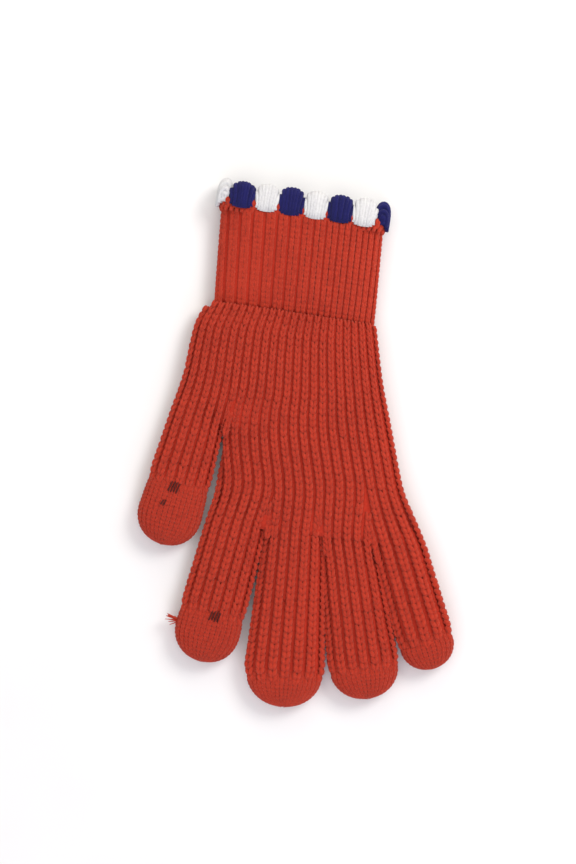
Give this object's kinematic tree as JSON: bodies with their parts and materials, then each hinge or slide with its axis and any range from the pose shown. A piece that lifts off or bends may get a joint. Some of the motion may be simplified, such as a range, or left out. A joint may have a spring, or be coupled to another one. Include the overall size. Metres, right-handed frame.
{
  "type": "knitted touchscreen glove",
  "caption": "Rib-knit touchscreen glove with a fold-over wrist cuff, a scalloped two-colour edging, gathered plain-knit finger tips and dark conductive stitches.",
  "frame": {"origin": "on the surface the glove lies on, under the middle of its outline", "axes": "+X from the thumb side to the little finger side, +Y from the finger tips to the cuff, +Z out of the palm"},
  "size_m": [0.1392, 0.2332, 0.017],
  "materials": {
    "red_yarn": "soft woollen rib knit",
    "blue_yarn": "soft woollen yarn, navy blue",
    "white_yarn": "soft woollen yarn, white",
    "conductive_thread": "dark metallised thread"
  },
  "bodies": {
    "hand": {"hand": "red_yarn", "palm": "red_yarn", "thumb_crotch": "red_yarn", "index_middle_crotch": "red_yarn", "middle_ring_crotch": "red_yarn", "ring_little_crotch": "red_yarn"},
    "cuff": {"cuff": "red_yarn", "edging_band": "red_yarn", "scallop_1": "white_yarn", "scallop_2": "blue_yarn", "scallop_3": "white_yarn", "scallop_4": "blue_yarn", "scallop_5": "white_yarn", "scallop_6": "blue_yarn", "scallop_7": "white_yarn", "scallop_8": "blue_yarn", "scallop_9": "white_yarn", "scallop_10": "blue_yarn", "scallop_11": "white_yarn", "scallop_12": "blue_yarn", "scallop_13": "white_yarn", "scallop_14": "blue_yarn"},
    "thumb_lower": {"thumb_lower": "red_yarn"},
    "thumb_upper": {"thumb_upper": "red_yarn", "thumb_tip": "red_yarn", "thumb_touch_thread": "conductive_thread"},
    "index_lower": {"index_lower": "red_yarn"},
    "index_upper": {"index_upper": "red_yarn", "index_tip": "red_yarn", "index_touch_thread": "conductive_thread", "index_yarn_end": "red_yarn"},
    "middle_lower": {"middle_lower": "red_yarn"},
    "middle_upper": {"middle_upper": "red_yarn", "middle_tip": "red_yarn"},
    "ring_lower": {"ring_lower": "red_yarn"},
    "ring_upper": {"ring_upper": "red_yarn", "ring_tip": "red_yarn"},
    "little_lower": {"little_lower": "red_yarn", "little_yarn_end": "red_yarn"},
    "little_upper": {"little_upper": "red_yarn", "little_tip": "red_yarn"}
  },
  "joints": [
    {"name": "wrist_fold", "type": "hinge", "parent": "hand", "child": "cuff", "pos_m": [-0.0008, 0.0565, 0.013], "axis": [0.989, -0.1478, 0], "range_deg": [0, 70]},
    {"name": "thumb_base_bend", "type": "hinge", "parent": "hand", "child": "thumb_lower", "pos_m": [-0.04268, 0.01117, 0.013], "axis": [-0.848, 0.5299, 0], "range_deg": [0, 75]},
    {"name": "thumb_knuckle_bend", "type": "hinge", "parent": "thumb_lower", "child": "thumb_upper", "pos_m": [-0.04888, -0.0099, 0.013], "axis": [-0.9588, 0.284, 0], "range_deg": [0, 80]},
    {"name": "index_base_bend", "type": "hinge", "parent": "hand", "child": "index_lower", "pos_m": [-0.0265, -0.03805, 0.013], "axis": [-1, 0, 0], "range_deg": [0, 80]},
    {"name": "index_knuckle_bend", "type": "hinge", "parent": "index_lower", "child": "index_upper", "pos_m": [-0.03242, -0.05983, 0.013], "axis": [-1, 0, 0], "range_deg": [0, 90]},
    {"name": "middle_base_bend", "type": "hinge", "parent": "hand", "child": "middle_lower", "pos_m": [-0.0006, -0.04305, 0.013], "axis": [-1, 0, 0], "range_deg": [0, 80]},
    {"name": "middle_knuckle_bend", "type": "hinge", "parent": "middle_lower", "child": "middle_upper", "pos_m": [-0.00255, -0.06962, 0.013], "axis": [-1, 0, 0], "range_deg": [0, 90]},
    {"name": "ring_base_bend", "type": "hinge", "parent": "hand", "child": "ring_lower", "pos_m": [0.0238, -0.05255, 0.013], "axis": [-1, 0, 0], "range_deg": [0, 80]},
    {"name": "ring_knuckle_bend", "type": "hinge", "parent": "ring_lower", "child": "ring_upper", "pos_m": [0.02673, -0.07451, 0.013], "axis": [-1, 0, 0], "range_deg": [0, 90]},
    {"name": "little_base_bend", "type": "hinge", "parent": "hand", "child": "little_lower", "pos_m": [0.0474, -0.05305, 0.013], "axis": [-1, 0, 0], "range_deg": [0, 80]},
    {"name": "little_knuckle_bend", "type": "hinge", "parent": "little_lower", "child": "little_upper", "pos_m": [0.05242, -0.07055, 0.013], "axis": [-1, 0, 0], "range_deg": [0, 90]}
  ]
}
